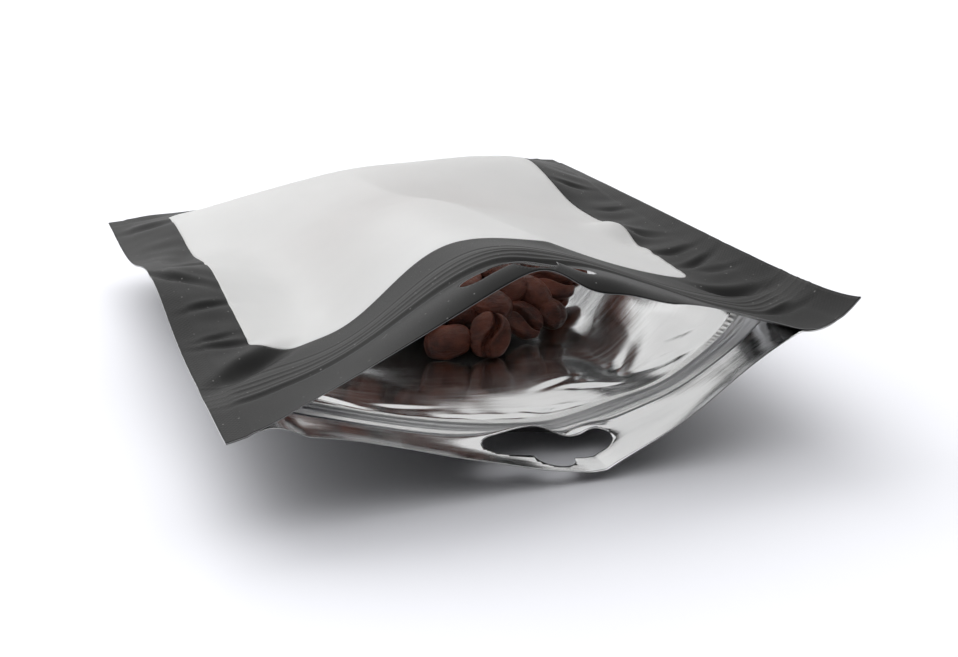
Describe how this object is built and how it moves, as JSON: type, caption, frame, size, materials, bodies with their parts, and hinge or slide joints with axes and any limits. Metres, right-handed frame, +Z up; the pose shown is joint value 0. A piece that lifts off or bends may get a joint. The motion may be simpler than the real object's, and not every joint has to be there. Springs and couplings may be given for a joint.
{
  "type": "zip-lock foil pouch with coffee beans",
  "caption": "Flat foil pouch lying open: charcoal front with a frosted window, metallised inside, press-to-close zip, hang hole, and a heap of roasted coffee beans.",
  "frame": {"origin": "on the table at the centre of the bounding box's underside", "axes": "+X across the mouth, +Y from the mouth to the bottom seal, +Z up"},
  "size_m": [0.1586, 0.206, 0.051],
  "materials": {
    "charcoal_film": "matte charcoal print on laminated film, fine speckle",
    "frosted_film": "frosted translucent film",
    "foil_film": "bright metallised inner face with fine grain, matte charcoal outside",
    "zip_plastic": "clear polyethylene zip tape, ribbed and finely knurled",
    "roasted_bean": "dark roasted coffee bean, slight sheen"
  },
  "bodies": {
    "root": {"front_panel": "charcoal_film", "window": "frosted_film", "back_panel": "foil_film", "zip_front": "zip_plastic", "zip_back": "zip_plastic", "coffee_beans": "roasted_bean"}
  },
  "joints": []
}
